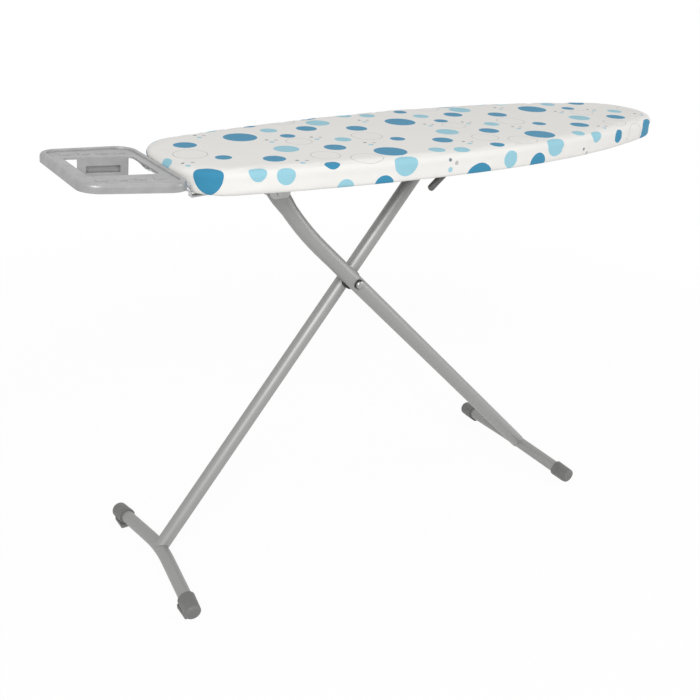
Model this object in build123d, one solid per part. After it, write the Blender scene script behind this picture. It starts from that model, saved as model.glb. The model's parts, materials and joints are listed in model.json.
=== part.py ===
from build123d import *
import os
from math import asin, atan2, cos, degrees, hypot, radians, sin, sqrt, tan

# Folding ironing board on two crossed tube legs, millimetres, +Z up.
# +X points along the board to its round nose, +Y away from the side with the release lever.
# The origin is on the floor, under the middle of the whole board with its iron rest.

# Board plan
board_length = 1095.0
board_width = 352.0
widest_from_end = 561.0
rear_side_radius = 2587.0
nose_radius = 100.0
end_corner_radius = 80.0

# Board layers, from the top down
deck_height = 781.0
edge_depth = 39.0
cover_thickness = 1.5
cover_edge_radius = 11.5
hem_radius = 6.0
hem_width = 26.0
pad_thickness = 8.0
pad_side_thickness = 4.5
layer_fit = 0.2
plate_sheet = 0.9
plate_edge_radius = 6.0
vent_radius = 5.0
vent_pitch_x = 48.0
vent_pitch_y = 44.0
vent_margin = 34.0

# Leg frame
leg_a_radius = 13.75
leg_b_radius = 14.85
leg_wall = 1.2
leg_a_y = 0.0
leg_side_gap = 3.5
leg_a_angle = 50.68
leg_b_angle = 45.09
leg_b_bend = 10.06
leg_b_bend_radius = 600.0
leg_b_bend_share = 0.583
leg_b_top_width = 36.0
leg_b_top_thickness = 24.0
leg_b_flat_length = 30.0
leg_top_overhang = 15.0
pivot_from_end = 360.0
hinge_below_deck = 69.0
pivot_below_hinge = 195.2
fold_turn = 46.0

# Foot bars and caps
foot_axis_height = 17.0
foot_span = 366.0
foot_b_shift = -6.0
foot_bar_radius = 12.6
foot_bar_wall = 1.2
foot_bar_bend = 8.0
foot_bar_bend_radius = 310.0
cap_radius = 16.3
cap_end_radius = 15.2
cap_length = 40.0
cap_end = 7.0
cap_edge_radius = 5.0
sole_outward = 14.0
sole_inward = 5.0
sole_length = 38.0
sole_height = 7.0
sole_corner_radius = 3.0
sole_from_middle = 8.5
weld_fit = 0.2

# Pins, bolts and washers
running_clearance = 0.05
seat_clearance = 0.3
pivot_bolt_radius = 4.0
bolt_head_radius = 8.0
bolt_head_height = 5.0
spacer_radius = 18.0
spacer_depth = 9.0
saddle_radius = 9.5
saddle_depth = 6.0
pivot_washer_thickness = 1.6
pivot_nut_radius = 7.5
pivot_nut_height = 7.0
hinge_pin_radius = 4.0
hinge_pin_head_radius = 6.5
hinge_pin_head = 2.5
hinge_washer_radius = 10.0
rivet_radius = 2.0
rivet_head_radius = 4.5
rivet_head = 2.0

# Hinge bracket and slide rail
bracket_length = 38.0
bracket_sheet = 2.5
bracket_drop = 9.5
bracket_side_room = 2.0
rail_sheet = 1.5
rail_side_room = 0.5
rail_drop = 16.0
rail_end_room = 36.0
slide_pin_radius = 5.0
slide_bush_radius = 7.0
slot_room = 0.8
plug_head = 2.0
plug_depth = 6.0
clip_radius = 9.0
clip_thickness = 1.2

# Height rack, its stud and its spring
rack_sheet = 3.5
rack_gap = 3.5
rack_clear = 0.5
rack_height = 18.0
rack_notch_radius = 5.3
rack_notch_pitch = 18.0
rack_end_room = 30.0
rack_eye_radius = 9.0
rack_stud_radius = 4.0
rack_stud_head_radius = 7.0
rack_stud_head = 2.5
rack_tail_height = 9.0
rack_tail_length = 29.0
rack_neck_width = 8.0
rack_neck_from_shaft = 7.0
spring_sheet = 0.8
spring_width = 6.0
spring_foot = 26.0
spring_run = 55.0
spring_from_eye = 95.0
spring_tip = 8.0

# Release lever
shaft_radius = 3.0
shaft_from_pin = 31.0
shaft_below_plate = 17.0
lever_y = -135.0
lever_angle = 39.2
lever_bend_radius = 9.0
lever_rod_reach = 54.0
grip_start = 15.0
grip_reach = 66.0
grip_width = 11.5
grip_thickness = 10.5
grip_corner_radius = 4.0
grip_tip_radius = 4.8
crank_back = 25.0
crank_drop = 14.0
crank_sheet = 3.0
crank_gap = 2.5
crank_hub_radius = 7.0
peg_radius = 3.0
peg_clear = 0.4
bearing_from_grip = 34.0
bearing_width = 14.0
bearing_wall = 3.0
bearing_ear = 11.0
bearing_sheet = 2.5

# Cross braces under the plate
brace_width = 32.0
brace_depth = 13.0
brace_sheet = 1.5
brace_flange = 10.0
brace_length = 224.0
rear_brace_from_end = 112.0
front_brace_from_nose = 215.0

# Iron rest
rest_depth = 166.0
rest_outer_width = 225.0
rest_inner_width = 262.0
rest_corner_radius = 33.0
rest_height = 15.0
rest_tilt = 4.12
rest_gap = 1.5
rest_drop = 8.7
rest_wall = 3.0
rest_rim_width = 11.0
rest_rim_step = 3.0
rest_edge_radius = 6.5
rest_rim_inner_radius = 2.5
rest_opening_length = 113.5
rest_opening_width = 117.0
rest_opening_from_inner = 25.5
rest_opening_radius = 7.0
rest_plate_length = 84.0
rest_plate_depth = 36.0
rest_plate_shift = 9.0
pocket_length = 57.0
pocket_height = 11.0
pocket_depth = 9.0
pocket_below_rim = 17.0
bump_count = 4
bump_length = 20.0
bump_width = 12.0
bump_height = 1.0
bump_pitch = 30.0
bump_from_opening = 26.0

# Iron rest supports
wire_radius = 2.0
wire_y = 103.0
wire_pitch = 7.0
wire_slant = 20.0
wire_splay = 34.0
wire_below_hem = 1.0
wire_in_tray = 84.0
wire_past_brace = 20.0
wire_gap_upper = 3.0
wire_gap_foot = 10.5
wire_gap_lower = 10.5
wire_bend_radius = 3.2
clamp_length = 30.0
clamp_wall = 3.0
screw_radius = 2.0
screw_head_radius = 4.0
screw_head = 2.2
saddle_block_length = 12.0
saddle_block_floor = 2.5

# Places worked out from the sizes above
rest_reach = rest_gap + rest_depth * cos(radians(rest_tilt)) + rest_height * sin(radians(rest_tilt))
nose_x = (board_length + rest_reach) / 2
board_end_x = nose_x - board_length
hem_z = deck_height - edge_depth
plate_inset = cover_thickness + pad_side_thickness + 2 * layer_fit
plate_top = deck_height - cover_thickness - pad_thickness - 2 * layer_fit
plate_under = plate_top - plate_sheet
plate_bottom = hem_z + cover_thickness + layer_fit
leg_b_y = leg_a_y - leg_a_radius - leg_b_radius - leg_side_gap
hinge_height = deck_height - hinge_below_deck
pivot_height = hinge_height - pivot_below_hinge
pivot_x = board_end_x + pivot_from_end
slide_a = pivot_below_hinge / sin(radians(leg_a_angle))
pin_x = pivot_x + slide_a * cos(radians(leg_a_angle))
bend_z = pivot_height + leg_b_bend_share * pivot_below_hinge
bend_x = pivot_x - (bend_z - pivot_height) / tan(radians(leg_b_angle))
upper_angle = leg_b_angle + leg_b_bend
upper_length = (hinge_height - bend_z) / sin(radians(upper_angle))
hinge_x = bend_x - upper_length * cos(radians(upper_angle))
chord_b = hypot(pivot_x - hinge_x, pivot_below_hinge)
chord_b_angle = degrees(atan2(pivot_below_hinge, pivot_x - hinge_x))
folded_b = radians(chord_b_angle - fold_turn)
folded_a = asin(chord_b * sin(folded_b) / slide_a)
pin_folded_x = hinge_x + chord_b * cos(folded_b) + slide_a * cos(folded_a)
foot_a_reach = (pivot_height - foot_axis_height) / sin(radians(leg_a_angle))
foot_b_reach = (pivot_height - foot_axis_height) / sin(radians(leg_b_angle))
rail_inner = leg_a_radius + rail_side_room
rail_outer = rail_inner + rail_sheet
rail_bottom = hinge_height - rail_drop
rail_start = pin_x - rail_end_room - slide_bush_radius
rail_end = pin_folded_x + rail_end_room + slide_bush_radius
shaft_x = pin_x - shaft_from_pin
shaft_z = plate_under - shaft_below_plate
rack_y = leg_a_y + rail_outer + rack_gap
rack_crest = hinge_height + slide_pin_radius + rack_clear
rack_eye_x = pin_folded_x + rack_end_room
rack_eye_z = rack_crest + rack_height / 2
rear_brace_x = board_end_x + rear_brace_from_end
front_brace_x = nose_x - front_brace_from_nose
brace_under = plate_under - brace_depth


def block(x0, x1, y0, y1, z0, z1):
    """Box between two corners."""
    return Pos((x0 + x1) / 2, (y0 + y1) / 2, (z0 + z1) / 2) * Box(x1 - x0, y1 - y0, z1 - z0)


def rod_along_y(x, z, y0, y1, radius):
    """Round bar along Y at (x, z)."""
    return Pos(x, (y0 + y1) / 2, z) * Rot(90, 0, 0) * Cylinder(radius, y1 - y0)


def rod_along_z(x, y, z0, z1, radius):
    """Round bar along Z at (x, y)."""
    return Pos(x, y, (z0 + z1) / 2) * Cylinder(radius, z1 - z0)


def along(origin, direction):
    """Frame whose Z runs along a direction in the XZ plane and whose Y stays the row's Y."""
    dx, _, dz = direction
    return Plane(origin, x_dir=(dz, 0, -dx), z_dir=direction).location


def tube_along(path, start, direction, radius):
    """Solid round bar swept along a path that starts at a point."""
    section = Plane(start, z_dir=direction) * Circle(radius)
    return sweep(section, path=path)


def save(node, shape):
    """Write one node's solids to its STEP file."""
    export_step(shape, f"parts/{node}.step")


# Board outline: end line, corner arcs, two long side arcs and a nose arc, all tangent
def board_face(inset):
    """Plan of the board, moved inwards by an inset."""
    half = board_width / 2
    rear = rear_side_radius
    widest_x = board_end_x + widest_from_end
    nose_run = nose_x - nose_radius - widest_x
    front = (nose_run**2 + half**2 - nose_radius**2) / (2 * (half - nose_radius))
    nose_angle = degrees(atan2(front - half, nose_run))
    corner_x = board_end_x + end_corner_radius
    corner_rise = sqrt((rear - end_corner_radius) ** 2 - (corner_x - widest_x) ** 2)
    corner_y = half - rear + corner_rise
    corner_angle = degrees(atan2(corner_rise, corner_x - widest_x))
    end_x = board_end_x + inset
    edges = [
        CenterArc((nose_x - nose_radius, 0), nose_radius - inset, -nose_angle, 2 * nose_angle),
        CenterArc((widest_x, half - front), front - inset, nose_angle, 90 - nose_angle),
        CenterArc((widest_x, half - rear), rear - inset, 90, corner_angle - 90),
        CenterArc((corner_x, corner_y), end_corner_radius - inset, corner_angle, 180 - corner_angle),
        Line((end_x, corner_y), (end_x, -corner_y)),
        CenterArc((corner_x, -corner_y), end_corner_radius - inset, 180, 180 - corner_angle),
        CenterArc((widest_x, rear - half), rear - inset, -corner_angle, corner_angle - 90),
        CenterArc((widest_x, front - half), front - inset, -90, 90 - nose_angle),
    ]
    return make_face(Wire(edges))


def board_slab(inset, z0, z1, top_radius=0.0, bottom_radius=0.0):
    """Board-shaped slab with rounded upper and lower edges."""
    slab = extrude(Pos(0, 0, z0) * board_face(inset), amount=z1 - z0)
    if top_radius:
        slab = fillet(slab.faces().sort_by(Axis.Z)[-1].edges(), top_radius)
    if bottom_radius:
        slab = fillet(slab.faces().sort_by(Axis.Z)[0].edges(), bottom_radius)
    return slab


def make_cover():
    """Cloth skin over the top, drawn in round the edge to a hem under the flange."""
    skin = cover_thickness
    outside = board_slab(0, hem_z, deck_height, cover_edge_radius, hem_radius)
    inside = board_slab(skin, hem_z + skin, deck_height - skin, cover_edge_radius - skin, hem_radius - skin)
    mouth = board_slab(hem_width, hem_z - skin, hem_z + 2 * skin)
    return outside - inside - mouth


def make_pad():
    """Felt pad over the plate's top and down its flange."""
    inset = cover_thickness + layer_fit
    top = deck_height - inset
    outside = board_slab(inset, plate_bottom, top, cover_edge_radius - inset, hem_radius - inset)
    hollow = board_slab(
        plate_inset - layer_fit, plate_bottom - layer_fit, plate_top + layer_fit,
        plate_edge_radius + layer_fit,
    )
    return outside - hollow


# Fasteners under the plate, as (x, y) places
def rail_rivet_places():
    count = 4
    step = (rail_end - rail_start - 2 * rail_end_room) / (count - 1)
    return [(rail_start + rail_end_room + step * i, leg_a_y) for i in range(count)]


def bracket_rivet_places():
    reach = bracket_length / 2 - 2 * rivet_head_radius
    return [(hinge_x - reach, leg_b_y), (hinge_x + reach, leg_b_y)]


def brace_rivet_places():
    reach_x = brace_width / 2 + brace_flange / 2
    reach_y = brace_length / 2 - 3 * rivet_head_radius
    return [
        (x + side_x * reach_x, side_y * reach_y)
        for x in (rear_brace_x, front_brace_x)
        for side_x in (-1, 1)
        for side_y in (-1, 1)
    ]


def bearing_rivet_places():
    reach = shaft_radius + bearing_wall + bearing_ear / 2
    y = lever_y + bearing_from_grip
    return [(shaft_x - reach, y), (shaft_x + reach, y)]


def spring_rivet_places():
    return [(rack_eye_x - spring_from_eye + spring_foot / 2, rack_y + rack_sheet / 2)]


def vent_places():
    """Staggered grid of vent holes, clear of everything fixed under the plate."""
    fixed = rail_rivet_places() + bracket_rivet_places() + brace_rivet_places() + bearing_rivet_places()
    fixed += spring_rivet_places()
    room = vent_radius + 2 * rivet_head_radius
    outline = board_face(plate_inset + vent_margin)
    columns = int(board_length / vent_pitch_x)
    rows = int(board_width / vent_pitch_y / 2) + 1
    places = []
    for i in range(columns):
        x = board_end_x + vent_pitch_x * (i + 0.5)
        shift = vent_pitch_y / 2 if i % 2 else 0.0
        for j in range(-rows, rows):
            y = vent_pitch_y * j + shift
            clear = all(hypot(x - fx, y - fy) > room for fx, fy in fixed)
            on_rail = rail_start - room < x < rail_end + room and abs(y - leg_a_y) < rail_outer + room
            if clear and not on_rail and outline.is_inside((x, y, 0)):
                places.append((x, y))
    return places


def make_plate():
    """Perforated steel top with a down-turned flange."""
    outside = board_slab(plate_inset, plate_bottom, plate_top, plate_edge_radius)
    hollow = board_slab(
        plate_inset + plate_sheet, plate_bottom - plate_sheet, plate_under, plate_edge_radius - plate_sheet
    )
    cuts = [rod_along_z(x, y, plate_under - 1, plate_top + 1, vent_radius) for x, y in vent_places()]
    holes = rail_rivet_places() + bracket_rivet_places() + brace_rivet_places()
    holes += bearing_rivet_places() + spring_rivet_places()
    hole_radius = rivet_radius + running_clearance
    cuts += [rod_along_z(x, y, plate_under - 1, plate_top + 1, hole_radius) for x, y in holes]
    return outside - hollow - cuts


def rivets(places, seat_z):
    """Flush-topped rivets whose heads sit under a seat."""
    solids = []
    for x, y in places:
        head = rod_along_z(x, y, seat_z - rivet_head, seat_z, rivet_head_radius)
        head = fillet(head.edges().sort_by(Axis.Z)[0], rivet_head / 2)
        solids.append(head + rod_along_z(x, y, seat_z, plate_top, rivet_radius))
    return Compound(children=solids)


def rivet_holes(places, z0, z1):
    return [rod_along_z(x, y, z0, z1, rivet_radius + running_clearance) for x, y in places]


# Braces, rail and bracket
def make_brace(x):
    """Hat-section brace across the board."""
    half = brace_width / 2
    half_length = brace_length / 2
    body = block(x - half, x + half, -half_length, half_length, brace_under, plate_under)
    hollow = block(
        x - half + brace_sheet, x + half - brace_sheet, -half_length - 1, half_length + 1,
        brace_under + brace_sheet, plate_under + 1,
    )
    flanges = block(
        x - half - brace_flange, x + half + brace_flange, -half_length, half_length,
        plate_under - brace_sheet, plate_under,
    )
    return body + flanges - hollow


def make_rail():
    """U channel in which the top of leg A slides, with a slot in each wall."""
    body = block(rail_start, rail_end, leg_a_y - rail_outer, leg_a_y + rail_outer, rail_bottom, plate_under)
    hollow = block(
        rail_start - 1, rail_end + 1, leg_a_y - rail_inner, leg_a_y + rail_inner,
        rail_bottom - 1, plate_under - rail_sheet,
    )
    slot_radius = slide_bush_radius + slot_room
    slot_x = (pin_x + pin_folded_x) / 2
    slot_length = pin_folded_x - pin_x + 2 * slot_radius
    slot = Pos(slot_x, leg_a_y, hinge_height) * Rot(90, 0, 0) * SlotOverall(slot_length, 2 * slot_radius)
    slot = extrude(slot, amount=rail_outer + 1, both=True)
    shaft = rod_along_y(
        shaft_x, shaft_z, leg_a_y - rail_outer - 1, leg_a_y + rail_outer + 1, shaft_radius + running_clearance
    )
    stud = rod_along_y(rack_eye_x, rack_eye_z, leg_a_y, leg_a_y + rail_outer + 1, rack_stud_radius)
    return body - hollow - slot - shaft - stud - rivet_holes(rail_rivet_places(), rail_bottom, plate_top)


def make_bracket():
    """Two-eared hinge bracket for leg B."""
    inner = leg_b_top_thickness / 2 + bracket_side_room
    outer = inner + bracket_sheet
    half = bracket_length / 2
    bottom = hinge_height - bracket_drop
    body = block(hinge_x - half, hinge_x + half, leg_b_y - outer, leg_b_y + outer, bottom, plate_under)
    hollow = block(
        hinge_x - half - 1, hinge_x + half + 1, leg_b_y - inner, leg_b_y + inner,
        bottom - 1, plate_under - bracket_sheet,
    )
    corners = body.edges().filter_by(Axis.Y).group_by(Axis.Z)[0]
    body = fillet(corners, bracket_drop)
    pin = rod_along_y(
        hinge_x, hinge_height, leg_b_y - outer - 1, leg_b_y + outer + 1, hinge_pin_radius + running_clearance
    )
    return body - hollow - pin - rivet_holes(bracket_rivet_places(), bottom, plate_top)


def make_hinge_pin():
    outer = leg_b_top_thickness / 2 + bracket_side_room + bracket_sheet
    pin = rod_along_y(hinge_x, hinge_height, leg_b_y - outer, leg_b_y + outer, hinge_pin_radius)
    for side in (-1, 1):
        near = leg_b_y + side * outer
        far = near + side * hinge_pin_head
        head = rod_along_y(hinge_x, hinge_height, min(near, far), max(near, far), hinge_pin_head_radius)
        head = fillet(head.edges().sort_by(Axis.Y)[-1 if side > 0 else 0], hinge_pin_head / 2)
        pin += head
    return pin


def make_hinge_washers():
    """Plastic washers between the bracket's ears and the flattened leg."""
    inner = leg_b_top_thickness / 2 + bracket_side_room
    washers = []
    for side in (-1, 1):
        y0 = leg_b_y + side * inner
        y1 = y0 - side * (bracket_side_room - seat_clearance)
        ring = rod_along_y(hinge_x, hinge_height, min(y0, y1), max(y0, y1), hinge_washer_radius)
        hole = rod_along_y(hinge_x, hinge_height, y0 - 5, y0 + 5, hinge_pin_radius + running_clearance)
        washers.append(ring - hole)
    return Compound(children=washers)


# Foot bars and caps, drawn in the plane of their leg: Y across, Z up the leg from the pivot
def bar_points(reach):
    """End, arc start and middle of one half of a foot bar's axis, and the arm's direction."""
    bend = radians(foot_bar_bend)
    middle_cap = foot_span / 2 - cap_length / 2 * cos(bend)
    arm = (middle_cap - foot_bar_bend_radius * sin(bend)) / cos(bend)
    end_z = -reach
    arc_z = end_z + arm * sin(bend)
    top_z = arc_z + foot_bar_bend_radius * (1 - cos(bend))
    tube_arm = arm + cap_length / 2 - cap_end
    arc_y = foot_bar_bend_radius * sin(bend)
    end_y = arc_y + tube_arm * cos(bend)
    tube_end_z = arc_z - tube_arm * sin(bend)
    return (end_y, tube_end_z), (arc_y, arc_z), top_z


def foot_bar(reach, radius):
    """Solid bow-shaped bar."""
    (end_y, end_z), (arc_y, arc_z), top_z = bar_points(reach)
    start = Vector(0, -end_y, end_z)
    turn = Vector(0, -arc_y, arc_z)
    path = Wire([
        Line(start, turn),
        ThreePointArc(turn, (0, 0, top_z), (0, arc_y, arc_z)),
        Line((0, arc_y, arc_z), (0, end_y, end_z)),
    ])
    return tube_along(path, start, turn - start, radius)


def make_foot_bar(frame, reach):
    return frame * (foot_bar(reach, foot_bar_radius) - foot_bar(reach, foot_bar_radius - foot_bar_wall))


def make_cap(frame, foot_x, foot_y, reach, side, outward):
    """End cap with a flat sole on the floor; side is the bar's end, outward the way the sole points."""
    (end_y, end_z), _, _ = bar_points(reach)
    bend = radians(foot_bar_bend)
    direction = Vector(0, side * cos(bend), -sin(bend))
    tube_end = Vector(0, side * end_y, end_z)
    inner_end = tube_end - direction * (cap_length - cap_end)
    shell = Plane(inner_end, z_dir=direction) * Cone(
        cap_radius, cap_end_radius, cap_length, align=(Align.CENTER, Align.CENTER, Align.MIN)
    )
    shell = fillet(shell.edges().sort_by(Axis.Y)[-1 if side > 0 else 0], cap_edge_radius)
    bore = Plane(inner_end - direction * sole_length, z_dir=direction) * Cylinder(
        foot_bar_radius + layer_fit, cap_length - cap_end + sole_length + layer_fit,
        align=(Align.CENTER, Align.CENTER, Align.MIN),
    )
    sole_y = foot_y + side * (foot_span / 2 - cap_length / 2 * cos(bend) - sole_from_middle)
    x0 = foot_x - (sole_outward if outward < 0 else sole_inward)
    x1 = foot_x + (sole_outward if outward > 0 else sole_inward)
    sole = block(x0, x1, sole_y - sole_length / 2, sole_y + sole_length / 2, 0, sole_height)
    sole = fillet(sole.edges().filter_by(Axis.Z), sole_corner_radius)
    under_floor = block(x0 - 50, x1 + 50, sole_y - 50, sole_y + 50, -50, 0)
    return frame * shell + sole - frame * bore - under_floor


leg_a_up = Vector(cos(radians(leg_a_angle)), 0, sin(radians(leg_a_angle)))
leg_b_up = Vector(-cos(radians(leg_b_angle)), 0, sin(radians(leg_b_angle)))
leg_a_frame = along((pivot_x, leg_a_y, pivot_height), leg_a_up)
leg_b_frame = along((pivot_x, leg_b_y, pivot_height), leg_b_up)
bar_a_frame = along((pivot_x, 0, pivot_height), leg_a_up)
bar_b_frame = along((pivot_x, foot_b_shift, pivot_height), leg_b_up)
foot_a_x = pivot_x - foot_a_reach * cos(radians(leg_a_angle))
foot_b_x = pivot_x + foot_b_reach * cos(radians(leg_b_angle))
bolt_hole_radius = pivot_bolt_radius + running_clearance


def make_leg_a():
    """Straight tube, saddled onto its foot bar and drilled for the pivot and the slide pin."""
    top = slide_a + leg_top_overhang
    _, _, bar_top = bar_points(foot_a_reach)
    length = top - bar_top
    solid = Pos(0, 0, bar_top + length / 2) * Cylinder(leg_a_radius, length)
    bore = Pos(0, 0, bar_top + length / 2) * Cylinder(leg_a_radius - leg_wall, length + 2)
    tube = leg_a_frame * (solid - bore) - bar_a_frame * foot_bar(foot_a_reach, foot_bar_radius + weld_fit)
    y0 = leg_a_y - 2 * leg_a_radius
    y1 = leg_a_y + 2 * leg_a_radius
    tube -= rod_along_y(pivot_x, pivot_height, y0, y1, bolt_hole_radius)
    return tube - rod_along_y(pin_x, hinge_height, y0, y1, slide_pin_radius + running_clearance)


def leg_b_solid(shrink):
    """Bent bar of leg B with its flattened top; shrink gives the bore."""
    radius = leg_b_radius - shrink
    tangent = leg_b_bend_radius * tan(radians(leg_b_bend / 2))
    upper_up = Vector(-cos(radians(upper_angle)), 0, sin(radians(upper_angle)))
    corner = Vector(bend_x, leg_b_y, bend_z)
    pivot = Vector(pivot_x, leg_b_y, pivot_height)
    _, _, bar_top = bar_points(foot_b_reach)
    start = pivot + leg_b_up * bar_top
    arc_start = corner - leg_b_up * tangent
    arc_end = corner + upper_up * tangent
    centre_side = Vector(-leg_b_up.Z, 0, leg_b_up.X)
    if centre_side.dot(upper_up) < 0:
        centre_side = centre_side * -1
    centre = arc_start + centre_side * leg_b_bend_radius
    arc_middle = centre + (corner - centre).normalized() * leg_b_bend_radius
    path = Wire([Line(start, arc_start), ThreePointArc(arc_start, arc_middle, arc_end)])
    lower = tube_along(path, start, leg_b_up, radius)
    top = Vector(hinge_x, leg_b_y, hinge_height) + upper_up * leg_top_overhang
    width = leg_b_top_width / 2 - shrink
    thickness = leg_b_top_thickness / 2 - shrink
    flat_start = top - upper_up * leg_b_flat_length
    round_end = along(arc_end, upper_up) * Circle(radius)
    flat_end = along(flat_start, upper_up) * Ellipse(width, thickness)
    return lower + loft([round_end, flat_end]) + extrude(flat_end, amount=leg_b_flat_length)


def make_leg_b():
    """Bent tube with a flattened top, saddled onto its foot bar and drilled for pivot and hinge pin."""
    tube = leg_b_solid(0) - leg_b_solid(leg_wall)
    tube -= bar_b_frame * foot_bar(foot_b_reach, foot_bar_radius + weld_fit)
    y0 = leg_b_y - 2 * leg_b_radius
    y1 = leg_b_y + 2 * leg_b_radius
    tube -= rod_along_y(pivot_x, pivot_height, y0, y1, bolt_hole_radius)
    return tube - rod_along_y(hinge_x, hinge_height, y0, y1, hinge_pin_radius + running_clearance)


# Crossing pivot: bolt, saddle pieces, washer and nut
near_face = leg_b_y - leg_b_radius
far_face = leg_a_y + leg_a_radius
bolt_seat = near_face - pivot_washer_thickness
nut_seat = far_face + seat_clearance + pivot_washer_thickness
spacer_seat = leg_a_y - leg_a_radius - seat_clearance


def saddle(y0, y1, radius):
    """Disc round the pivot axis, hollowed to sit on leg B."""
    disc = rod_along_y(pivot_x, pivot_height, y0, y1, radius)
    seat = leg_b_frame * Cylinder(leg_b_radius + weld_fit, 4 * radius)
    return disc - seat - rod_along_y(pivot_x, pivot_height, y0 - 1, y1 + 1, bolt_hole_radius)


def make_pivot_bolt():
    head = rod_along_y(pivot_x, pivot_height, bolt_seat - bolt_head_height, bolt_seat, bolt_head_radius)
    head = fillet(head.edges().sort_by(Axis.Y)[0], bolt_head_height * 0.8)
    tip = nut_seat + pivot_nut_height
    return head + rod_along_y(pivot_x, pivot_height, bolt_seat, tip, pivot_bolt_radius)


def make_pivot_nut():
    nut = Pos(pivot_x, nut_seat, pivot_height) * Rot(-90, 0, 0) * extrude(
        RegularPolygon(pivot_nut_radius, 6), amount=pivot_nut_height
    )
    tip = nut_seat + pivot_nut_height
    return nut - rod_along_y(pivot_x, pivot_height, nut_seat - 1, tip + 1, bolt_hole_radius)


def make_pivot_washer():
    y0 = far_face + seat_clearance
    ring = rod_along_y(pivot_x, pivot_height, y0, nut_seat, saddle_radius)
    return ring - rod_along_y(pivot_x, pivot_height, y0 - 1, nut_seat + 1, bolt_hole_radius)


# Slide pin and its small parts on leg A
pin_far_y = rack_y + rack_sheet + seat_clearance + clip_thickness


def make_slide_pin():
    return rod_along_y(pin_x, hinge_height, leg_a_y - rail_outer, pin_far_y, slide_pin_radius)


def make_slide_bushes():
    """Plastic rings on the slide pin that run in the rail's slots."""
    rings = []
    for side in (-1, 1):
        y0 = leg_a_y + side * (rail_inner - rail_side_room / 2)
        y1 = leg_a_y + side * (rail_outer - running_clearance)
        ring = rod_along_y(pin_x, hinge_height, min(y0, y1), max(y0, y1), slide_bush_radius)
        hole = rod_along_y(pin_x, hinge_height, y0 - 5, y0 + 5, slide_pin_radius + running_clearance)
        rings.append(ring - hole)
    return Compound(children=rings)


def make_pin_clip():
    """Spring clip that stops the slide pin at the rail's far wall."""
    y0 = leg_a_y + rail_outer + seat_clearance
    ring = rod_along_y(pin_x, hinge_height, y0, y0 + clip_thickness, clip_radius)
    ring -= rod_along_y(pin_x, hinge_height, y0 - 1, y0 + 3, slide_pin_radius + running_clearance)
    mouth = slide_pin_radius * 0.8
    below = hinge_height - 2 * clip_radius
    return ring - block(pin_x - mouth, pin_x + mouth, y0 - 1, y0 + 3, below, hinge_height)


def make_plug():
    """Plastic plug in the top of leg A."""
    top = slide_a + leg_top_overhang
    head = Pos(0, 0, top + plug_head / 2) * Cylinder(leg_a_radius, plug_head)
    head = fillet(head.edges().sort_by(Axis.Z)[-1], plug_head / 2)
    spigot = Pos(0, 0, top - plug_depth / 2) * Cylinder(leg_a_radius - leg_wall - layer_fit, plug_depth)
    return leg_a_frame * (head + spigot)


# Height rack
peg_x = shaft_x - crank_back
peg_z = shaft_z - crank_drop
tail_bottom = peg_z + peg_radius + peg_clear


def plate_xz(shape, y0, y1):
    """Flat piece drawn in XZ between two Y planes."""
    return extrude(Plane((0, y0, 0), x_dir=(1, 0, 0), z_dir=(0, -1, 0)) * shape, amount=-(y1 - y0))


def rect_xz(x0, x1, z0, z1):
    return Pos((x0 + x1) / 2, (z0 + z1) / 2) * Rectangle(x1 - x0, z1 - z0)


def make_rack():
    """Notched bar over the slide pin, hung on a stud at one end and lifted by the crank at the other."""
    neck_x1 = shaft_x - rack_neck_from_shaft
    neck_x0 = neck_x1 - rack_neck_width
    outline = rect_xz(neck_x0, rack_eye_x, rack_crest, rack_crest + rack_height)
    outline += Pos(rack_eye_x, rack_eye_z) * Circle(rack_eye_radius)
    outline += rect_xz(neck_x0, neck_x1, rack_crest, tail_bottom + rack_tail_height)
    outline += rect_xz(neck_x1 - rack_tail_length, neck_x1, tail_bottom, tail_bottom + rack_tail_height)
    notches = int((pin_folded_x - pin_x) / rack_notch_pitch) + 1
    for i in range(notches):
        outline -= Pos(pin_x + i * rack_notch_pitch, rack_crest) * Circle(rack_notch_radius)
    outline -= Pos(rack_eye_x, rack_eye_z) * Circle(rack_stud_radius + running_clearance)
    return plate_xz(outline, rack_y, rack_y + rack_sheet)


def make_rack_stud():
    """Shouldered stud riveted into the rail's far wall."""
    wall = leg_a_y + rail_inner
    stud = rod_along_y(rack_eye_x, rack_eye_z, wall, rack_y + rack_sheet + seat_clearance, rack_stud_radius)
    collar = rod_along_y(
        rack_eye_x, rack_eye_z, leg_a_y + rail_outer, rack_y - seat_clearance, rack_stud_head_radius
    )
    y0 = rack_y + rack_sheet + seat_clearance
    head = rod_along_y(rack_eye_x, rack_eye_z, y0, y0 + rack_stud_head, rack_stud_head_radius)
    return stud + collar + fillet(head.edges().sort_by(Axis.Y)[-1], rack_stud_head / 2)


def make_rack_spring():
    """Leaf spring between the plate and the rack's back."""
    foot_x1 = rack_eye_x - spring_from_eye + spring_foot
    foot_x0 = foot_x1 - spring_foot
    tip_x = foot_x0 - spring_run
    rest_z = rack_crest + rack_height + seat_clearance
    end_x = tip_x - spring_tip
    end_z = rest_z + spring_tip / 2
    foot_z = plate_under - spring_sheet
    lower = [(foot_x1, foot_z), (foot_x0, foot_z), (tip_x, rest_z), (end_x, end_z)]
    upper = [(x, z + spring_sheet) for x, z in reversed(lower)]
    leaf = make_face(Polyline(*lower, *upper, close=True))
    middle = rack_y + rack_sheet / 2
    strip = plate_xz(leaf, middle - spring_width / 2, middle + spring_width / 2)
    return strip - rivet_holes(spring_rivet_places(), plate_under - 5, plate_top)


# Release lever
lever_down = Vector(-cos(radians(lever_angle)), 0, -sin(radians(lever_angle)))
lever_root = Vector(shaft_x, lever_y, shaft_z)
crank_y = rack_y + rack_sheet + crank_gap


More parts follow.
